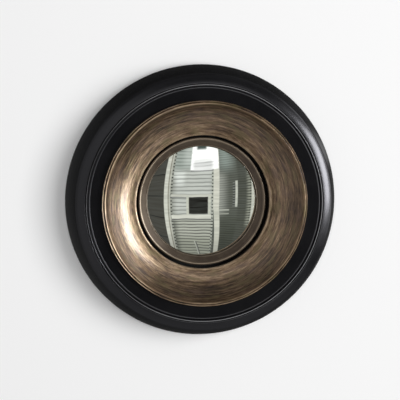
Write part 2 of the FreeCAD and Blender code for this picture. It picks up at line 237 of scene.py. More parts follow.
def eased(section, steps=5, most=0.45):
    """The section's points, with each corner rounded by its own easing radius, over at most a share of the
    two sides beside it."""
    points = []
    for index, (radius, depth, easing) in enumerate(section):
        here = Vector((radius, depth))
        if not easing:
            points.append(here)
            continue
        back = Vector(section[index - 1][:2]) - here
        on = Vector(section[(index + 1) % len(section)][:2]) - here
        corner = back.angle(on)
        reach = min(easing / math.tan(corner / 2), most * back.length, most * on.length)
        first = here + back.normalized() * reach
        last = here + on.normalized() * reach
        bisector = (back.normalized() + on.normalized()).normalized()
        centre = here + bisector * (reach / math.cos(corner / 2))
        turn = math.pi - corner
        for step in range(steps + 1):
            share = step / steps
            from_first = math.sin((1 - share) * turn) * (first - centre)
            from_last = math.sin(share * turn) * (last - centre)
            points.append(centre + (from_first + from_last) / math.sin(turn))
    return points


def guarded(points, gap=0.3):
    """The points with two more near the ends of each long straight run, which keep its shading flat."""
    result = []
    for index, here in enumerate(points):
        following = points[(index + 1) % len(points)]
        run = following - here
        result.append(here)
        if run.length > 6 * gap:
            result.append(here + run.normalized() * gap)
            result.append(following - run.normalized() * gap)
    return result


def turned(name, section, closed=True, uneven=None):
    """A smooth mesh object turned from a section. uneven, if given, moves single points of it."""
    points = guarded(eased(section)) if closed else eased(section)
    shape = bmesh.new()
    rings = []
    for segment in range(SEGMENTS):
        angle = 2 * math.pi * segment / SEGMENTS
        ring = []
        for radius, depth in points:
            if uneven:
                radius, depth = uneven(angle, radius, depth)
            place = (radius * math.sin(angle) * MM, -depth * MM, radius * math.cos(angle) * MM)
            ring.append(shape.verts.new(place))
        rings.append(ring)
    steps = len(points) if closed else len(points) - 1
    for segment, ring in enumerate(rings):
        following = rings[(segment + 1) % SEGMENTS]
        for index in range(steps):
            after = (index + 1) % len(points)
            shape.faces.new((ring[index], ring[after], following[after], following[index]))
    # A section that starts on the axis has all its first points in one place
    bmesh.ops.remove_doubles(shape, verts=shape.verts, dist=1e-7)
    bmesh.ops.recalc_face_normals(shape, faces=shape.faces)
    for face in shape.faces:
        face.smooth = True
    mesh = bpy.data.meshes.new(name)
    shape.to_mesh(mesh)
    shape.free()
    piece = bpy.data.objects.new(name, mesh)
    bpy.context.scene.collection.objects.link(piece)
    return piece


def lip_wear(angle, radius, depth):
    """The bronze ring's worn lip isn't quite even, and has one rough spot at the lower left."""
    if depth < FRIEZE_DEPTH + WEAR_ABOVE_FRIEZE or radius < COVE_OUTER - WEAR_INTO_COVE:
        return radius, depth
    around = Vector((math.sin(angle), math.cos(angle), 0.0))
    slow = noise.noise(around * SLOW_RATE)
    quick = noise.noise(around * QUICK_RATE + QUICK_LAYER)
    rough = math.exp(-((math.degrees(angle) - ROUGH_SPOT) / ROUGH_SPREAD) ** 2)
    shift = SLOW_WEAR * slow + QUICK_WEAR * quick + rough * (ROUGH_SWELL + ROUGH_WEAR * quick)
    share = 1.0 if radius > LIP_QUIRK else BEAD_SHARE
    return radius + shift * share, depth - DROP_SHARE * abs(shift)


outer_frame = turned("frame_moulding", [
    (REBATE_RADIUS, 0, 0.6),
    (RIM_RADIUS, 0, 0.8),
    *ovolo(),
    (OVOLO_INNER, OVOLO_TOP, 0.3),
    (OVOLO_INNER, FRIEZE_DEPTH, 0.12),
    (RIDGE_OUTER, FRIEZE_DEPTH, 0.12),
    (RIDGE_OUTER - RIDGE_TAPER, RIDGE_TOP, 0.5),
    (RIDGE_INNER + RIDGE_TAPER, RIDGE_TOP, 0.5),
    (RIDGE_INNER, FRIEZE_DEPTH, 0.15),
    *through((BEAD_OUTER, FRIEZE_DEPTH), (BEAD_INNER, FRIEZE_DEPTH), BEAD_RISE, 12),
    (FRAME_BORE, FRIEZE_DEPTH, 0.4),
    (FRAME_BORE, FRAME_SEAT, 0),
    (FLANGE_BORE, FRAME_SEAT, 0),
    (FLANGE_BORE, LEDGE_DEPTH, 0),
    (REBATE_RADIUS, LEDGE_DEPTH, 0),
])
cove_ring = turned("bronze_cove", [
    (FRAME_BORE - RING_CLEARANCE, FRIEZE_DEPTH, 0),
    (LIP_RADIUS, FRIEZE_DEPTH + LIP_SEAT_GAP, 0.2),
    (LIP_RADIUS, LIP_FILLET_TOP, 0.7),
    (LIP_QUIRK, LIP_FILLET_TOP - LIP_FILLET_FALL, 0.5),
    (LIP_QUIRK, QUIRK_FLOOR, 0.1),
    (LIP_BEAD, QUIRK_FLOOR, 0.1),
    *through((LIP_BEAD, LIP_TOP - BEAD_RISE), (COVE_OUTER, LIP_TOP - BEAD_RISE), BEAD_RISE, 12),
    *through((COVE_OUTER, LIP_TOP - BEAD_RISE), (COVE_INNER, COVE_EDGE_DEPTH), -COVE_HOLLOW, 48)[1:],
    *arc_from((COVE_INNER, COVE_EDGE_DEPTH), COVE_EDGE_RADIUS, 90, 180, 10),
    (COVE_BORE, BEZEL_SEAT, 0),
    (BEZEL_FLANGE + RING_CLEARANCE, BEZEL_SEAT, 0),
    (BEZEL_FLANGE + RING_CLEARANCE, LEDGE_DEPTH, 0),
    (FLANGE_BORE - RING_CLEARANCE, LEDGE_DEPTH, 0),
    (FLANGE_BORE - RING_CLEARANCE, FRAME_SEAT, 0),
    (FRAME_BORE - RING_CLEARANCE, FRAME_SEAT, 0),
], uneven=lip_wear)
bezel_ring = turned("glass_bezel", [
    (BEZEL_FLANGE, LEDGE_DEPTH, 0),
    (BEZEL_FLANGE, BEZEL_SEAT, 0),
    (BEZEL_RADIUS, BEZEL_SEAT, 0.2),
    *bezel_face(),
    *dome(BED_RADIUS, SIGHT_RADIUS, BEZEL_BORE, 8),
    (BEZEL_BORE, LEDGE_DEPTH, 0),
])
convex_mirror = turned("domed_glass", [
    *dome(DOME_RADIUS, 0, GLASS_RADIUS, 72),
    *dome(DOME_RADIUS - GLASS_THICKNESS, GLASS_RADIUS, 0, 24),
], closed=False)


# Materials

class Graph:
    """A node tree that is filled by short calls."""

    def __init__(self, tree):
        self.tree = tree
        tree.nodes.clear()

    def put(self, socket, value):
        if isinstance(value, bpy.types.NodeSocket):
            self.tree.links.new(value, socket)
        else:
            socket.default_value = value

    def node(self, kind, inputs=None, **settings):
        made = self.tree.nodes.new("ShaderNode" + kind)
        for name, value in settings.items():
            setattr(made, name, value)
        for key, value in (inputs or {}).items():
            self.put(made.inputs[key], value)
        return made

    def math(self, operation, *values):
        return self.node("Math", dict(enumerate(values)), operation=operation).outputs[0]

    def span(self, value, low, high, start=0.0, end=1.0):
        """A smooth step from start to end while the value goes from low to high."""
        inputs = {0: value, 1: low, 2: high, 3: start, 4: end}
        return self.node("MapRange", inputs, interpolation_type="SMOOTHSTEP").outputs[0]

    def band(self, value, low, high, soft):
        """1 between low and high, and 0 outside, with soft edges."""
        rising = self.span(value, low - soft, low + soft)
        falling = self.span(value, high - soft, high + soft, 1.0, 0.0)
        return self.math("MULTIPLY", rising, falling)

    def mix(self, share, first, second):
        inputs = {0: share, 6: first, 7: second}
        return self.node("Mix", inputs, data_type="RGBA").outputs[2]

    def ramp(self, value, stops):
        """A colour, or a grey, from a list of (place, colour)."""
        made = self.node("ValToRGB", {0: value})
        elements = made.color_ramp.elements
        while len(elements) < len(stops):
            elements.new(1.0)
        for element, (place, colour) in zip(elements, stops):
            element.position = place
            if isinstance(colour, float):
                colour = (colour, colour, colour)
            element.color = (*colour, 1.0)
        return made.outputs[0]

    def profile(self, value, stops):
        """A grey from a list of (place, grey), with the places in the value's own units."""
        low, high = stops[0][0], stops[-1][0]
        share = self.node("MapRange", {0: value, 1: low, 2: high}).outputs[0]
        return self.ramp(share, [((place - low) / (high - low), grey) for place, grey in stops])

    def vary(self, value, amount, texture):
        """The value with a texture's ups and downs added."""
        return self.math("MULTIPLY_ADD", self.math("SUBTRACT", texture, 0.5), amount, value)

    def noise(self, vector, scale=1.0, detail=3.0, rough=0.5):
        inputs = {"Vector": vector, "Scale": scale, "Detail": detail, "Roughness": rough}
        return self.node("TexNoise", inputs).outputs[0]

    def place(self):
        """The point on the object, in millimetres, as (vector, x, y, z)."""
        metres = self.node("TexCoord").outputs["Object"]
        vector = self.node("VectorMath", {0: metres, "Scale": 1 / MM}, operation="SCALE").outputs[0]
        parts = self.node("SeparateXYZ", {0: vector}).outputs
        return vector, parts[0], parts[1], parts[2]

    def around(self):
        """The distance from the axis, the depth in front of the wall, and the direction from the axis."""
        _, x, y, z = self.place()
        square = self.math("ADD", self.math("MULTIPLY", x, x), self.math("MULTIPLY", z, z))
        radius = self.math("SQRT", square)
        depth = self.math("MULTIPLY", y, -1.0)
        return radius, depth, self.math("DIVIDE", x, radius), self.math("DIVIDE", z, radius)

    def strokes(self, ring, along, across, depth_share=0.8):
        """A noise space where things run round the axis. along sets how often they change on the way round,
        and across how often per millimetre of the radius and of a share of the depth."""
        radius, depth, x, z = ring
        width = self.math("MULTIPLY_ADD", depth, depth_share, radius)
        inputs = {
            0: self.math("MULTIPLY", x, along),
            1: self.math("MULTIPLY", z, along),
            2: self.math("MULTIPLY", width, across),
        }
        return self.node("CombineXYZ", inputs).outputs[0]

    def bump(self, height, distance, strength, normal=None):
        inputs = {"Height": height, "Distance": distance * MM, "Strength": strength}
        if normal:
            inputs["Normal"] = normal
        return self.node("Bump", inputs).outputs[0]

    def finish(self, sockets):
        """A Principled surface from the values of its sockets."""
        shader = self.node("BsdfPrincipled", sockets).outputs[0]
        self.node("OutputMaterial", {0: shader})


def beyond(edge, stops):
    """Stops of a profile, with their places counted from an edge."""
    return [(edge + step, grey) for step, grey in stops]


def new_graph(name):
    """A new material and its empty node tree."""
    material = bpy.data.materials.new(name)
    material.use_nodes = True
    return material, Graph(material.node_tree)


def black_lacquer():
    """Satin black lacquer on turned wood: faint turning lines, uneven gloss, thin paint on the rear rim."""
    material, g = new_graph("black_lacquer")
    ring = g.around()
    radius, depth, sideways, _ = ring
    vector, _, _, _ = g.place()
    lines = g.noise(g.strokes(ring, 4.0, 2.2), detail=4.0)
    clouds = g.noise(vector, 0.03, 4.0, 0.6)
    specks = g.noise(vector, 1.3, 2.0, 0.5)
    rim = g.span(depth, 0.2, 0.9, 1.0, 0.0)
    wood = g.noise(g.strokes(ring, 14.0, 0.5), detail=5.0, rough=0.65)
    paint = g.ramp(clouds, [(0.3, (0.0018, 0.0018, 0.0022)), (0.7, (0.0034, 0.0033, 0.0038))])
    worn = g.ramp(wood, [(0.42, (0.012, 0.011, 0.010)), (0.62, (0.05, 0.034, 0.022))])
    # Painted highlight and wear: the ridge, the ovolo's inner edge and the bead's crown are painted pale
    # grey, partly as worn paint and partly as a painted highlight.
    ridge = g.band(radius, RIDGE_INNER + 0.4, RIDGE_OUTER - 0.4, 0.3)
    ridge = g.math("MULTIPLY", ridge, g.span(depth, RIDGE_TOP - 0.5, RIDGE_TOP - 0.1))
    edge = g.band(radius, OVOLO_INNER - 0.1, OVOLO_INNER + 0.5, 0.25)
    edge = g.math("MULTIPLY", edge, g.span(depth, OVOLO_TOP - 0.7, OVOLO_TOP - 0.3))
    bead = g.band(radius, BEAD_INNER, BEAD_OUTER, 0.3)
    crown = g.math("MULTIPLY", g.band(radius, BEAD_CROWN - 0.4, BEAD_CROWN + 0.4, 0.3), 0.25)
    raised = g.math("MAXIMUM", g.math("MAXIMUM", ridge, g.math("MULTIPLY", edge, 0.3)), crown)
    wear_and_highlight = g.math("MULTIPLY", raised, g.span(lines, 0.3, 0.6, 0.6, 1.0))
    # Fainter towards the left: painted light, as the lamps stand at the right.
    wear_and_highlight = g.math("MULTIPLY", wear_and_highlight, g.span(sideways, -0.95, -0.2, 0.2, 1.0))
    colour = g.mix(rim, g.mix(wear_and_highlight, paint, (0.33, 0.33, 0.34, 1.0)), worn)
    gloss = g.math("MULTIPLY_ADD", clouds, 0.10, 0.165)
    gloss = g.math("MULTIPLY_ADD", specks, 0.04, gloss)
    gloss = g.math("MULTIPLY_ADD", bead, 0.22, gloss)
    gloss = g.math("MULTIPLY_ADD", rim, 0.35, gloss)
    normal = g.bump(lines, 0.05, 0.3)
    normal = g.bump(specks, 0.03, 0.25, normal)
    g.finish({
        "Base Color": colour, "Roughness": gloss, "Normal": normal, "IOR": 1.5,
        "Specular Tint": (0.93, 0.93, 1.0, 1.0),
    })
    return material


def bronze_gilt():
    """Rubbed bronze leaf under a dark glaze, with strokes round the axis. Its lip has a painted highlight at
    the upper left and painted shade at the right and on its outer flanks; low in the bore, painted near-black
    shade.
    """
    material, g = new_graph("bronze_gilt")
    ring = g.around()
    radius, depth, sideways, upwards = ring
    vector, _, _, _ = g.place()
    fine = g.noise(g.strokes(ring, 11.0, 1.1), detail=6.0, rough=0.7)
    broad = g.noise(g.strokes(ring, 3.6, 0.3), detail=5.0, rough=0.65)
    mottle = g.noise(vector, 0.055, 4.0, 0.6)
    tint = g.noise(g.strokes(ring, 5.0, 0.12), detail=3.0)
    level = g.profile(radius, [
        (COVE_BORE, 0.80), (COVE_INNER, 0.85),
        *beyond(COVE_INNER, [
            (2.0, 0.50), (8.0, 0.50), (14.0, 0.51), (18.0, 0.45), (23.0, 0.35), (30.0, 0.36), (36.0, 0.38),
            (41.0, 0.38), (44.0, 0.42),
        ]),
        # Painted highlight and shade on the lip: the inner flanks of its bead and fillet are painted paler,
        # the outer flanks and the quirk darker.
        *beyond(COVE_OUTER, [(0.1, 0.80), (1.2, 0.70), (1.8, 0.28)]),
        (LIP_BEAD, 0.05), (LIP_QUIRK, 0.40),
        *beyond(LIP_QUIRK, [(0.2, 1.00), (0.6, 0.85), (1.0, 0.15)]),
        (LIP_RADIUS, 0.05),
    ])
    # Painted highlight: the lip is painted paler towards the upper left.
    corner = g.math("MULTIPLY_ADD", upwards, 0.8, g.math("MULTIPLY", sideways, -0.6))
    painted_highlight = g.span(corner, 0.5, 0.95, 0.0, 0.4)
    painted_highlight = g.math("MULTIPLY", painted_highlight, g.band(radius, COVE_OUTER, LIP_BEAD - 0.2, 0.5))
    # Painted shade: the lip is painted darker towards the right.
    painted_shade = g.span(sideways, 0.6, 0.95, 0.0, -0.12)
    painted_shade = g.math("MULTIPLY", painted_shade, g.span(radius, COVE_OUTER - 0.7, COVE_OUTER + 0.3))
    value = g.math("ADD", level, g.math("ADD", painted_highlight, painted_shade))
    value = g.vary(value, 1.35, fine)
    value = g.vary(value, 1.7, broad)
    value = g.vary(value, 0.35, mottle)
    colour = g.ramp(value, [
        (0.0, (0.030, 0.017, 0.009)), (0.3, (0.096, 0.056, 0.029)), (0.55, (0.232, 0.143, 0.078)),
        (0.8, (0.40, 0.270, 0.160)), (1.0, (0.57, 0.41, 0.265)),
    ])
    olive = g.mix(g.span(tint, 0.50, 0.68, 0.0, 0.5), colour, (0.175, 0.136, 0.058, 1.0))
    plum = g.mix(g.span(tint, 0.32, 0.47, 0.4, 0.0), olive, (0.155, 0.096, 0.074, 1.0))
    # Painted shade: the bore is painted near-black, matte and not metallic, low down in the gap.
    bore = g.span(radius, COVE_BORE - 0.1, COVE_BORE + 0.6, 1.0, 0.0)
    bore = g.math("MULTIPLY", bore, g.span(depth, COVE_EDGE_DEPTH - 5.0, COVE_EDGE_DEPTH - 2.0, 1.0, 0.0))
    colour = g.mix(bore, plum, (0.006, 0.005, 0.004, 1.0))
    gloss = g.math("MULTIPLY_ADD", fine, 0.20, 0.26)
    gloss = g.math("MULTIPLY_ADD", bore, 0.4, gloss)
    metal = g.math("MULTIPLY_ADD", bore, -0.8, 0.8)
    coat = g.profile(radius, [
        (COVE_BORE, 0.9), *beyond(COVE_OUTER, [(1.2, 0.9), (1.8, 0.2)]), (LIP_BEAD, 0.1),
        *beyond(LIP_QUIRK, [(0.0, 0.9), (0.6, 0.9), (1.0, 0.1)]), (LIP_RADIUS, 0.1),
    ])
    normal = g.bump(fine, 0.10, 0.55)
    normal = g.bump(broad, 0.25, 0.35, normal)
    g.finish({
        "Base Color": colour, "Metallic": metal, "Roughness": gloss, "Normal": normal,
        "Coat Weight": coat, "Coat Roughness": 0.25,
    })
    return material


def dark_bronze():
    """Dark bronze paint with fine turned lines and a darker line at the step. Its edges are painted paler,
    most on the crest, as a painted highlight, and down in the shadow gap it is painted near-black, as shade.
    """
    material, g = new_graph("dark_bronze")
    ring = g.around()
    radius, depth, _, _ = ring
    vector, _, _, _ = g.place()
    fine = g.noise(g.strokes(ring, 6.0, 2.0), detail=4.0, rough=0.6)
    mottle = g.noise(vector, 0.06, 3.0, 0.6)
    # The crest and the lip's edge are painted paler: a painted highlight.
    level = g.profile(radius, [
        (SIGHT_RADIUS, 0.68), *beyond(BEZEL_LIP_OUTER, [(-0.2, 0.62), (0.4, 0.46)]),
        *beyond(BEZEL_STEP_RADIUS, [(-0.4, 0.50), (0.0, 0.25), (0.5, 0.54)]),
        *beyond(BEZEL_CREST, [(-1.5, 0.58), (-0.8, 0.95), (0.1, 0.95), (0.9, 0.55)]), (BEZEL_RADIUS, 0.45),
    ])
    value = g.vary(level, 0.5, fine)
    value = g.vary(value, 0.4, mottle)
    colour = g.ramp(value, [
        (0.0, (0.025, 0.017, 0.011)), (0.45, (0.100, 0.069, 0.046)), (0.75, (0.197, 0.145, 0.098)),
        (1.0, (0.36, 0.28, 0.20)),
    ])
    # Painted shade: near-black down in the shadow gap, on the bezel's outer wall and flange.
    gap = g.span(depth, BEZEL_CREST_DEPTH - 7.5, BEZEL_CREST_DEPTH - 3.5, 1.0, 0.0)
    gap = g.math("MULTIPLY", g.span(radius, BEZEL_RADIUS - 0.2, BEZEL_RADIUS + 0.1), gap)
    colour = g.mix(gap, colour, (0.004, 0.0035, 0.003, 1.0))
    gloss = g.math("MULTIPLY_ADD", fine, 0.2, 0.28)
    gloss = g.math("MULTIPLY_ADD", gap, 0.4, gloss)
    crest = g.band(radius, BEZEL_CREST - 1.1, BEZEL_CREST + 0.6, 0.5)
    metal = g.math("MULTIPLY_ADD", gap, -0.6, g.math("MULTIPLY_ADD", crest, 0.35, 0.6))
    normal = g.bump(fine, 0.06, 0.5)
    g.finish({
        "Base Color": colour, "Metallic": metal, "Roughness": gloss, "Normal": normal,
        "Coat Weight": 0.4, "Coat Roughness": 0.3,
    })
    return material


def mirror_glass():
    """Silvered glass, faintly green and not quite even, with the silver a little darker towards its rim."""
    material, g = new_graph("mirror_glass")
    radius, _, _, _ = g.around()
    vector, _, _, _ = g.place()
    clouds = g.noise(vector, 0.04, 4.0, 0.6)
    waves = g.noise(vector, 0.045, 1.0, 0.5)
    silver = g.ramp(clouds, [(0.3, (0.82, 0.84, 0.81)), (0.7, (0.87, 0.885, 0.86))])
    edge = g.span(radius, SIGHT_RADIUS - 5.4, SIGHT_RADIUS + 1.1, 0.0, 0.35)
    colour = g.mix(edge, silver, (0.55, 0.57, 0.53, 1.0))
    g.finish({"Base Color": colour, "Metallic": 1.0, "Roughness": 0.0, "Normal": g.bump(waves, 0.03, 0.5)})
    return material


def hardboard():
    """Brown pressed fibre board with a sealed face."""
    material, g = new_graph("hardboard")
    vector, _, _, _ = g.place()
    fibres = g.noise(vector, 0.9, 6.0, 0.75)
    clouds = g.noise(vector, 0.025, 4.0, 0.6)
    value = g.vary(fibres, 0.5, clouds)
    colour = g.ramp(value, [
        (0.25, (0.105, 0.058, 0.030)), (0.5, (0.21, 0.125, 0.068)), (0.75, (0.33, 0.215, 0.125)),
    ])
    gloss = g.math("MULTIPLY_ADD", fibres, 0.25, 0.45)
    g.finish({"Base Color": colour, "Roughness": gloss, "Normal": g.bump(fibres, 0.25, 0.5)})
    return material


def zinc_steel():
    """Zinc-plated steel: a pale cloudy metal with a faint tint and fine scratches."""
    material, g = new_graph("zinc_steel")
    vector, _, _, _ = g.place()
    clouds = g.noise(vector, 0.35, 4.0, 0.65)
    fine = g.noise(vector, 3.5, 3.0, 0.6)
    colour = g.ramp(clouds, [
        (0.3, (0.42, 0.43, 0.46)), (0.55, (0.60, 0.60, 0.60)), (0.75, (0.66, 0.64, 0.56)),
    ])
    gloss = g.math("MULTIPLY_ADD", clouds, 0.22, 0.2)
    normal = g.bump(fine, 0.03, 0.4)
    g.finish({"Base Color": colour, "Metallic": 1.0, "Roughness": gloss, "Normal": normal})
    return material


def soft_black(name, tone, rough):
    """The unseen strips that bed the glass: rubber or foam, with fine pores."""
    material, g = new_graph(name)
    vector, _, _, _ = g.place()
    pores = g.noise(vector, 2.0, 3.0, 0.6)
    colour = g.ramp(pores, [(0.35, tone * 0.6), (0.65, tone * 1.4)])
    gloss = g.math("MULTIPLY_ADD", pores, 0.2, rough)
    g.finish({"Base Color": colour, "Roughness": gloss, "Normal": g.bump(pores, 0.15, 0.6)})
    return material


zinc = zinc_steel()
turned_pieces = [
    (outer_frame, "outer_frame", "black_lacquer", black_lacquer()),
    (cove_ring, "cove_ring", "bronze_gilt", bronze_gilt()),
    (bezel_ring, "bezel_ring", "dark_bronze", dark_bronze()),
    (convex_mirror, "convex_mirror", "mirror_glass", mirror_glass()),
]
for piece, node, slot, material in turned_pieces:
    piece.data.materials.append(material)
    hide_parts(node)
    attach(piece, "mirror")

node_materials = {
    "back_board": hardboard(),
    "glass_gasket": soft_black("gasket", 0.02, 0.5),
    "foam_ring": soft_black("foam", 0.05, 0.75),
    "frame_screws": zinc,
    "bezel_screws": zinc,
    "back_board_screws": zinc,
    "hanger_plate": zinc,
    "hanger_ring": zinc,
    "hanger_screws": zinc,
}
for node, material in node_materials.items():
    for material_slot in frame["nodes"][node].material_slots:
        material_slot.link = "OBJECT"
        material_slot.material = material


# Stage: a pale wall with its own lamps, soft lamps from the right, one for the back, and a room for gloss

PALE = 0.92
FRONT_LIGHT = 0.18
BACK_LIGHT = 0.45
COOL = (0.88, 0.95, 1.0)
LAMP_DISTANCE = 5.0

# The wall's rings and its fade, in millimetres from the axis
WALL_RADII = (186.0, 300.0, 450.0, 750.0)
WALL_FADE = (480.0, 700.0)
WALL_GAP = 0.4
WALL_SEGMENTS = 96
WALL_TONE = 0.94

# How the glass bends the room it shows, in degrees: a shift, a bow of the uprights about one level, a
# squeeze towards another level at the far left, and a slow waviness
VIEW_TURN = 1.9
VIEW_RISE = 1.2
BOW = 0.0025
BOW_LEVEL = -8.0
SQUEEZE = 0.84
SQUEEZE_LEFT = -36.0
SQUEEZE_RIGHT = -20.0
SQUEEZE_LEVEL = -3.6
WAVINESS = 1.6

# The photograph's viewing angle, a little from the left and above
CAMERA_AZIMUTH = -8.0
CAMERA_ELEVATION = 6.8
CAMERA_DISTANCE = 3.0
SENSOR_WIDTH = 36.0
LENS = 183.3
AIM = Vector((-0.0012, -0.014, 0.0002))


def direction(azimuth, elevation):
    """The unit vector towards the viewer's side: azimuth to the right of straight ahead, then up."""
    turn, rise = math.radians(azimuth), math.radians(elevation)
    return Vector((math.sin(turn) * math.cos(rise), -math.cos(turn) * math.cos(rise), math.sin(rise)))


def softbox(name, azimuth, elevation, width, height, radiance, tint=(1.0, 1.0, 1.0)):
    """A rectangular lamp that looks at the mirror; width and height are the angles that it fills."""
    lamp = bpy.data.lights.new(name, "AREA")
    lamp.shape = "RECTANGLE"
    lamp.size = 2 * LAMP_DISTANCE * math.tan(math.radians(width / 2))
    lamp.size_y = 2 * LAMP_DISTANCE * math.tan(math.radians(height / 2))
    lamp.energy = radiance * math.pi * lamp.size * lamp.size_y
    lamp.color = tint
    holder = bpy.data.objects.new(name, lamp)
    holder.location = direction(azimuth, elevation) * LAMP_DISTANCE
    holder.rotation_euler = direction(azimuth, elevation).to_track_quat("Z", "Y").to_euler()
    holder.visible_camera = False
    bpy.context.scene.collection.objects.link(holder)
    return holder


def link_light(lamp, pieces, state):
    """Let a lamp light only some pieces (INCLUDE), or all but them (EXCLUDE)."""
    group = bpy.data.collections.new(lamp.name + "_pieces")
    lamp.light_linking.receiver_collection = group
    for piece in pieces:
        group.objects.link(piece)
    for entry in group.collection_objects:
        entry.light_linking.link_state = state


def wall():
    """A pale disc behind the mirror, open where the mirror covers it, and see-through from behind."""
    shape = bmesh.new()
    rings = []
    for radius in WALL_RADII:
        ring = []
        for segment in range(WALL_SEGMENTS):
            angle = 2 * math.pi * segment / WALL_SEGMENTS
            place = Vector((radius * math.sin(angle), WALL_GAP, radius * math.cos(angle)))
            ring.append(shape.verts.new(place * MM))
        rings.append(ring)
    for inner, outer in zip(rings, rings[1:]):
        for segment in range(WALL_SEGMENTS):
            after = (segment + 1) % WALL_SEGMENTS
            shape.faces.new((inner[segment], outer[segment], outer[after], inner[after]))
    for face in shape.faces:
        face.normal_update()
        if face.normal.y > 0:
            face.normal_flip()
    mesh = bpy.data.meshes.new("wall")
    shape.to_mesh(mesh)
    shape.free()
    made = bpy.data.objects.new("wall", mesh)
    bpy.context.scene.collection.objects.link(made)
    material, g = new_graph("wall")
    radius, _, _, _ = g.around()
    _, x, _, z = g.place()
    path = g.node("LightPath").outputs
    behind = g.node("NewGeometry").outputs["Backfacing"]
    faded = g.math("MAXIMUM", behind, g.span(radius, *WALL_FADE))
    paint = g.node("BsdfDiffuse", {"Color": (WALL_TONE, WALL_TONE, WALL_TONE, 1.0)}).outputs[0]
    # Glossy rays see painted light instead of the wall: a painted reflection, dim near the mirror, paler
    # further out, with a painted glow at the upper right
    near = g.profile(x, [(-220.0, 0.10), (-130.0, 0.055), (130.0, 0.05), (220.0, 0.11)])
    far = g.profile(radius, [(200.0, 0.0), (260.0, 0.05), (340.0, 0.20), (480.0, 0.30)])
    glow = g.math("MULTIPLY", g.band(x, 200.0, 300.0, 25.0), g.band(z, 60.0, 130.0, 30.0))
    dusk = g.math("MAXIMUM", g.math("MAXIMUM", near, far), g.math("MULTIPLY", glow, 0.7))
    dark = g.node("Emission", {"Color": dusk}).outputs[0]
    nothing = g.node("BsdfTransparent").outputs[0]
    shown = g.node("MixShader", {0: path["Is Glossy Ray"], 1: paint, 2: dark}).outputs[0]
    clear = g.math("MULTIPLY", path["Is Camera Ray"], faded)
    g.node("OutputMaterial", {0: g.node("MixShader", {0: clear, 1: shown, 2: nothing}).outputs[0]})
    made.data.materials.append(material)
    return made


def panel(left, right, bottom, top, tone, soft=0.5, slats=0.0, shade=0.0, lean=0.0):
    """A patch of the room, in degrees to the right of straight ahead and up. It may lean sideways, and have
    slats: so many per degree, with gaps that are darker by their shade."""
    colour = (tone, tone, tone) if isinstance(tone, float) else tone
    return left, right, bottom, top, colour, soft, slats, shade, lean


# What satin surfaces show: broad soft patches of light
ROOM = [
    panel(-60, -14, -50, 45, 0.62, soft=8),
    panel(-125, -55, -50, 45, 0.45, soft=10),
    panel(-70, 110, 40, 70, 0.24, soft=8),
    panel(-70, 70, -80, -32, 0.48, soft=9),
    panel(64, 125, -17, 36, 2.6, soft=8),
    panel(18, 33, -34, -13, 0.9, soft=4),
    panel(-30, -10, 8, 26, 0.75, soft=5),
    panel(-12, 24, 11, 26, 0.95, soft=3),
]

# Where a slat turns into the gap below it, on a wave from -1 to 1
SLAT_EDGE = (0.1, 0.95)

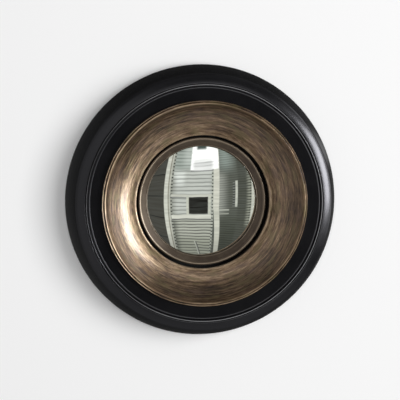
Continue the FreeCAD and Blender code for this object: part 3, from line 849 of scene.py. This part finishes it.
# What the glass shows: a slatted room with posts, rails, a dark window and a soft lamp
STUDIO = [
    # Slats on the wall straight ahead
    panel(-16, 18, -22, 20, (0.68, 0.70, 0.66), slats=0.33, shade=0.45),
    panel(-16, 18, -60, -21, (0.57, 0.58, 0.51), soft=0.8, slats=0.42, shade=0.75),
    panel(-16, 18, -60, -36, (0.50, 0.515, 0.435), soft=3.5, slats=0.42, shade=0.65),
    panel(-13, -5, 5, 16, (0.92, 0.95, 0.91), soft=2.5, slats=0.33, shade=0.45),
    panel(-16, 1, 17, 60, (0.46, 0.51, 0.47), soft=2.0, slats=0.36, shade=0.45),
    panel(-7, 1, 20, 60, (0.66, 0.71, 0.67), soft=4.0, slats=0.36, shade=0.3),
    # Their shade beside the left post
    panel(-22, -12.5, -22, 11, (0.36, 0.37, 0.33), soft=3.5, slats=0.33, shade=0.45),
    panel(-22, -12.0, -60, -22, (0.17, 0.175, 0.15), soft=3.5, slats=0.42, shade=0.6),
    # Dark boards at the left
    panel(-75, -20, -70, 70, (0.071, 0.068, 0.059), soft=0.6),
    panel(-50, -20, 12.8, 13.5, 0.016, soft=0.3),
    panel(-50, -20, -4.0, -3.3, 0.014, soft=0.3),
    panel(-50, -20, -20.6, -19.9, 0.016, soft=0.3),
    panel(-50, -20, -36.0, -35.2, 0.016, soft=0.3),
    # The slatted wall at the right, with two bars, an upright and its far edge
    panel(23, 62, -60, 60, (0.125, 0.132, 0.112), slats=0.58, shade=0.35),
    panel(22, 34, 16, 60, (0.34, 0.39, 0.36), soft=6.0, slats=0.58, shade=0.35),
    panel(18, 27, -17, 13, (0.42, 0.43, 0.39), soft=5.0, slats=0.58, shade=0.35),
    panel(22, 62, -60, -22, (0.080, 0.086, 0.068), soft=8.0, slats=0.58, shade=0.45),
    panel(23, 31, -14.8, -13.9, (0.55, 0.56, 0.50), soft=0.5),
    panel(23, 31, -17.5, -16.8, (0.50, 0.51, 0.45), soft=0.4),
    panel(33.6, 35.6, -12, 6, (0.20, 0.21, 0.19), soft=0.3, slats=0.53, shade=0.95),
    panel(38, 62, -60, 40, (0.095, 0.100, 0.083), soft=1.5, slats=0.58, shade=0.35),
    panel(35.8, 37.7, -12.3, 6.6, (0.66, 0.67, 0.60), soft=0.4),
    panel(46.2, 50, -26, 14, (0.34, 0.35, 0.29), soft=2.0, slats=0.53, shade=0.8),
    panel(48.2, 49.6, -26, 14, (0.30, 0.31, 0.26), soft=0.3, slats=0.53, shade=0.97),
    panel(49.7, 62, -25, 13, (0.70, 0.70, 0.62), soft=0.6),
    # The left post
    panel(-20.4, -17.4, -60, 60, (0.76, 0.76, 0.68), soft=0.35),
    panel(-17.4, -16.7, -60, 60, (0.34, 0.32, 0.26), soft=0.2),
    panel(-16.7, -15.4, -60, 60, (0.62, 0.62, 0.55), soft=0.3),
    panel(-15.4, -14.0, -60, 60, (0.40, 0.41, 0.36), soft=0.3, slats=0.38, shade=0.95),
    # Rails, and the dark window between them
    panel(-15, 18, -4.1, -2.1, (0.76, 0.76, 0.68), soft=0.35),
    panel(-15, 18, -4.7, -4.1, 0.28, soft=0.25),
    panel(-15, 18, -21.1, -17.9, (0.80, 0.80, 0.72), soft=0.4),
    panel(-15, 18, -21.9, -21.1, 0.14, soft=0.25),
    panel(-3.0, -0.9, -18, -3, (0.70, 0.71, 0.62), soft=0.3),
    panel(14.0, 16.1, -18, -3, (0.70, 0.71, 0.62), soft=0.3),
    panel(-1.1, 13.9, -17.2, -4.1, (0.030, 0.028, 0.024), soft=0.35),
    panel(-0.2, 13.2, -16.6, -4.1, (0.018, 0.017, 0.015), soft=0.35),
    # The right post
    panel(16.7, 18.0, -60, 17, (0.52, 0.54, 0.48), soft=0.3, slats=0.38, shade=0.95),
    panel(18.0, 22.7, -14, 60, (0.80, 0.79, 0.70), soft=0.4),
    panel(18.4, 22.9, -60, -14, (0.74, 0.74, 0.65), soft=0.4, lean=-0.08),
    # The lamp overhead, and a pole on the floor
    panel(-0.6, 17.6, 15.5, 16.4, 0.26, soft=0.4),
    panel(-0.9, 22.2, 16.7, 60, 1.5, soft=0.8),
    panel(1.0, 17.4, 16.9, 24, 1.0, soft=2.0, slats=0.42, shade=0.3),
    panel(3.0, 12.0, 32.2, 60, (0.09, 0.12, 0.11), soft=1.4),
    panel(1.6, 2.9, -60, -39.0, (0.62, 0.64, 0.57), soft=0.5, lean=-0.4),
    panel(3.0, 3.8, -60, -39.5, 0.10, soft=0.4, lean=-0.4),
]


def room(g, azimuth, elevation, start, panels):
    """The patches laid over each other, the last on top."""
    colour = start
    for left, right, bottom, top, tone, soft, slats, shade, lean in panels:
        place = azimuth
        if lean:
            place = g.math("MULTIPLY_ADD", g.math("SUBTRACT", elevation, top), -lean, azimuth)
        share = g.math("MULTIPLY", g.band(place, left, right, soft), g.band(elevation, bottom, top, soft))
        cover = (*tone, 1.0)
        if slats:
            wave = g.math("SINE", g.math("MULTIPLY", elevation, 2 * math.pi * slats))
            dark = tuple(channel * (1 - shade) for channel in tone)
            cover = g.mix(g.span(wave, *SLAT_EDGE), cover, (*dark, 1.0))
        colour = g.mix(share, colour, cover)
    return colour


def world():
    """Pale to the camera, an even soft light, and a room for gloss and glass to show."""
    made = bpy.data.worlds.new("studio")
    made.use_nodes = True
    bpy.context.scene.world = made
    g = Graph(made.node_tree)
    outward = g.node("TexCoord").outputs["Generated"]
    parts = g.node("SeparateXYZ", {0: outward}).outputs
    forward = g.math("MULTIPLY", parts[1], -1.0)
    azimuth = g.math("DEGREES", g.math("ARCTAN2", parts[0], forward))
    elevation = g.math("DEGREES", g.math("ARCSINE", parts[2]))
    gloom = g.mix(g.span(forward, -0.3, 0.2), (0.14, 0.14, 0.14, 1.0), (0.09, 0.09, 0.09, 1.0))
    gloss = room(g, azimuth, elevation, gloom, ROOM)

    # The room in the glass, bent, with blotches drawn out sideways and a darker floor
    side = g.math("ADD", azimuth, VIEW_TURN)
    lift = g.math("SUBTRACT", elevation, VIEW_RISE)
    rise = g.math("SUBTRACT", lift, BOW_LEVEL)
    bow = g.math("MULTIPLY_ADD", g.math("MULTIPLY", rise, rise), -BOW, side)
    squeeze = g.span(side, SQUEEZE_LEFT, SQUEEZE_RIGHT, SQUEEZE, 1.0)
    height = g.math("DIVIDE", g.math("SUBTRACT", lift, SQUEEZE_LEVEL), squeeze)
    height = g.math("ADD", height, SQUEEZE_LEVEL)
    drift = g.noise(g.node("CombineXYZ", {0: bow, 1: height}).outputs[0], 0.06, 2.0)
    height = g.vary(height, WAVINESS, drift)
    view = room(g, bow, height, (0.10, 0.11, 0.10, 1.0), STUDIO)
    streaks = g.node("CombineXYZ", {0: g.math("MULTIPLY", bow, 0.06), 1: height}).outputs[0]
    blotches = g.noise(streaks, 0.55)
    view = g.mix(g.span(blotches, 0.38, 0.62, 0.20, 0.0), view, (0.14, 0.15, 0.14, 1.0))
    view = g.mix(g.span(height, -46.0, -27.0, 0.30, 0.0), view, (0.02, 0.02, 0.02, 1.0))

    # Which of them a ray meets
    path = g.node("LightPath").outputs
    ahead = g.span(forward, 0.15, 0.65, 0.0, FRONT_LIGHT)
    behind = g.span(forward, -0.3, 0.0, BACK_LIGHT, 0.0)
    even = g.math("ADD", ahead, behind)
    light = g.mix(path["Is Glossy Ray"], even, gloss)
    light = g.mix(path["Is Singular Ray"], light, view)
    shown = g.math("MAXIMUM", path["Is Camera Ray"], path["Is Transmission Ray"])
    result = g.mix(shown, light, (PALE, PALE, PALE, 1.0))
    g.node("OutputWorld", {0: g.node("Background", {"Color": result}).outputs[0]})


backdrop = wall()
world()

# From the right, a lamp for the bronze rings, one for the black frame and one for the wall. From the camera's
# side, a fill for the wall's shadow. From behind, a lamp for the back.
key = softbox("key", azimuth=45.0, elevation=2.5, width=19.0, height=27.0, radiance=19.5, tint=COOL)
link_light(key, [convex_mirror, backdrop, outer_frame], "EXCLUDE")
frame_key = softbox("frame_key", azimuth=51.5, elevation=4.3, width=19.0, height=25.6, radiance=20.0)
link_light(frame_key, [outer_frame], "INCLUDE")
wall_key = softbox("wall_key", azimuth=36.0, elevation=7.0, width=36.0, height=36.0, radiance=5.7)
link_light(wall_key, [backdrop], "INCLUDE")
wall_fill = softbox("wall_fill", CAMERA_AZIMUTH, CAMERA_ELEVATION, width=14.0, height=14.0, radiance=15.0)
link_light(wall_fill, [backdrop], "INCLUDE")
softbox("back_light", azimuth=160.0, elevation=35.0, width=40.0, height=40.0, radiance=2.5)


# Camera

camera = bpy.data.cameras.new("camera")
camera.sensor_width = SENSOR_WIDTH
camera.lens = LENS
holder = bpy.data.objects.new("camera", camera)
towards = direction(CAMERA_AZIMUTH, CAMERA_ELEVATION)
holder.location = AIM + towards * CAMERA_DISTANCE
holder.rotation_euler = towards.to_track_quat("Z", "Y").to_euler()
bpy.context.scene.collection.objects.link(holder)
bpy.context.scene.camera = holder
bpy.context.scene.view_settings.view_transform = "Standard"
